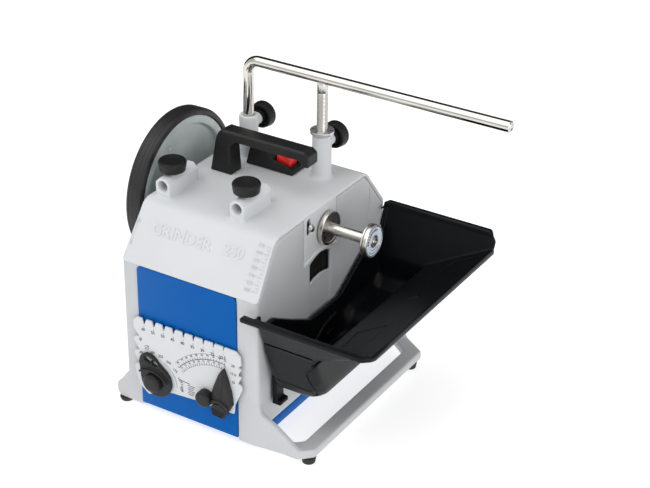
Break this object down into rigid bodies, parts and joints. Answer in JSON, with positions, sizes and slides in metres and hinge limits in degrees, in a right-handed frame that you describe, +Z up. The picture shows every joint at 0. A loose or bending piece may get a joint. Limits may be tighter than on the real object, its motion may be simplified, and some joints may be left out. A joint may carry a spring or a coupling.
{
  "type": "water-cooled bench sharpening machine",
  "caption": "Bench wet grinder with horizontal stone shaft, rubber-tyred drive wheel, bent tool rest, removable water trough, magnetic angle gauge and carrying handle.",
  "frame": {"origin": "centre of the bounding box at floor level", "axes": "+Z up, front with the gauge faces -Y, stone shaft and tool rest run along +X"},
  "size_m": [0.387, 0.2778, 0.3516],
  "materials": {
    "cast_paint": "light grey fine-textured paint on a zinc casting",
    "frame_plastic": "light grey moulded ABS, lightly grained",
    "blue_paint": "blue semi-gloss paint on folded steel sheet",
    "foot_rubber": "black rubber",
    "black_plastic": "black grained glass-filled plastic",
    "knob_plastic": "black moulded plastic, softly ribbed rim",
    "red_plastic": "red glossy plastic",
    "trough_plastic": "black moulded plastic with a low sheen",
    "zinc_steel": "bright zinc-plated steel",
    "stainless": "turned and ground stainless steel",
    "bright_chrome": "polished bright bar",
    "nut_zinc": "white zinc-plated nut with index marks",
    "wheel_zinc": "die-cast zinc, slightly mottled",
    "tyre_rubber": "black drive rubber",
    "label": "pale blue label with plain black arc marks",
    "bush_nylon": "natural nylon",
    "lamination": "stacked electrical steel",
    "copper": "enamelled copper windings",
    "motor_alloy": "die-cast aluminium",
    "gauge_white": "white moulded plastic, printed scales",
    "magnet": "ferrite magnet"
  },
  "bodies": {
    "housing": {"top_casting": "cast_paint", "right_side_frame": "frame_plastic", "left_side_frame": "frame_plastic", "blue_cover_sheet": "blue_paint", "rubber_feet": "foot_rubber", "cable_gland": "black_plastic", "window_grille": "black_plastic", "cover_screws": "zinc_steel", "left_shaft_bush": "bush_nylon", "right_shaft_bush": "bush_nylon", "key_slot_screw": "zinc_steel", "carry_handle": "black_plastic", "switch_housing": "black_plastic", "switch_body": "black_plastic", "motor_pivot_rod": "zinc_steel", "run_capacitor": "motor_alloy", "capacitor_clip": "zinc_steel", "press_spring": "zinc_steel"},
    "spindle": {"main_shaft": "stainless", "stone_flange": "stainless", "drive_wheel": "wheel_zinc", "drive_tyre": "tyre_rubber", "wheel_lock_nut": "zinc_steel"},
    "nut_washer": {"nut_washer": "stainless"},
    "quick_nut": {"quick_nut": "stainless", "nut_label_ring": "label"},
    "tool_rest": {"support_bar": "bright_chrome", "threaded_leg": "stainless"},
    "height_nut": {"height_adjust_nut": "nut_zinc"},
    "rear_lock_left": {"rear_knob_left": "knob_plastic", "rear_stud_left": "zinc_steel"},
    "rear_lock_right": {"rear_knob_right": "knob_plastic", "rear_stud_right": "zinc_steel"},
    "front_lock_left": {"front_knob_left": "knob_plastic", "front_stud_left": "zinc_steel"},
    "front_lock_right": {"front_knob_right": "knob_plastic", "front_stud_right": "zinc_steel"},
    "switch": {"switch_rocker": "red_plastic"},
    "motor": {"motor_stator": "lamination", "motor_windings": "copper", "motor_end_bell_left": "motor_alloy", "motor_end_bell_right": "motor_alloy", "motor_bearing_left": "stainless", "motor_bearing_right": "stainless", "motor_bracket": "zinc_steel"},
    "rotor": {"motor_rotor": "lamination", "motor_spindle": "stainless"},
    "trough": {"water_trough": "trough_plastic"},
    "gauge": {"gauge_plate": "gauge_white", "gauge_magnets": "magnet", "gauge_pivot_pins": "zinc_steel"},
    "gauge_cam": {"diameter_cam": "black_plastic", "cam_knob": "black_plastic"},
    "gauge_pointer": {"angle_pointer": "black_plastic", "pointer_knob": "black_plastic"}
  },
  "joints": [
    {"name": "spindle_spin", "type": "hinge", "parent": "housing", "child": "spindle", "pos_m": [0.0125, 0.00935, 0.205], "axis": [1, 0, 0], "continuous": true},
    {"name": "nut_pull_off", "type": "slide", "parent": "spindle", "child": "nut_washer", "axis": [1, 0, 0], "range_m": [0, 0.055]},
    {"name": "quick_nut_turn", "type": "hinge", "parent": "nut_washer", "child": "quick_nut", "pos_m": [0.0675, 0.00935, 0.205], "axis": [1, 0, 0], "range_deg": [0, 540]},
    {"name": "motor_swing", "type": "hinge", "parent": "housing", "child": "motor", "pos_m": [0.0125, 0.09335, 0.06], "axis": [1, 0, 0], "range_deg": [0, 3], "stiffness_Nm_per_rad": 60, "springref_deg": -6.88, "deforming": ["press_spring"]},
    {"name": "rotor_spin", "type": "hinge", "parent": "motor", "child": "rotor", "pos_m": [0.0125, 0.03135, 0.11635], "axis": [1, 0, 0], "continuous": true},
    {"name": "rest_height", "type": "slide", "parent": "housing", "child": "tool_rest", "axis": [0, 0, 1], "range_m": [0, 0.07]},
    {"name": "height_nut_turn", "type": "hinge", "parent": "tool_rest", "child": "height_nut", "pos_m": [-0.0234, 0.05915, 0.284], "axis": [0, 0, 1], "range_deg": [-360, 360]},
    {"name": "switch_rock", "type": "hinge", "parent": "housing", "child": "switch", "pos_m": [-0.0633, 0.05285, 0.24], "axis": [0, 1, 0], "range_deg": [0, 8]},
    {"name": "trough_lift", "type": "slide", "parent": "housing", "child": "trough", "axis": [0, 0, 1], "range_m": [0, 0.025]},
    {"name": "gauge_pull", "type": "slide", "parent": "housing", "child": "gauge", "axis": [0, -1, 0], "range_m": [0, 0.04]},
    {"name": "cam_turn", "type": "hinge", "parent": "gauge", "child": "gauge_cam", "pos_m": [-0.1108, -0.12865, 0.0461], "axis": [0, 1, 0], "range_deg": [-45, 45]},
    {"name": "pointer_turn", "type": "hinge", "parent": "gauge", "child": "gauge_pointer", "pos_m": [-0.0285, -0.12865, 0.04], "axis": [0, 1, 0], "range_deg": [-50, 3]},
    {"name": "rear_lock_left_turn", "type": "hinge", "parent": "housing", "child": "rear_lock_left", "pos_m": [-0.1162, 0.08435, 0.271], "axis": [0, 1, 0], "range_deg": [0, 360]},
    {"name": "rear_lock_right_turn", "type": "hinge", "parent": "housing", "child": "rear_lock_right", "pos_m": [-0.0234, 0.08435, 0.271], "axis": [0, 1, 0], "range_deg": [0, 360]},
    {"name": "front_lock_left_turn", "type": "hinge", "parent": "housing", "child": "front_lock_left", "pos_m": [-0.1353, -0.05365, 0.26], "axis": [0, 0, 1], "range_deg": [0, 360]},
    {"name": "front_lock_right_turn", "type": "hinge", "parent": "housing", "child": "front_lock_right", "pos_m": [-0.0428, -0.05365, 0.26], "axis": [0, 0, 1], "range_deg": [0, 360]}
  ],
  "couplings": [
    {"joint": "rotor_spin", "follows": "spindle_spin", "ratio": -14.167}
  ]
}
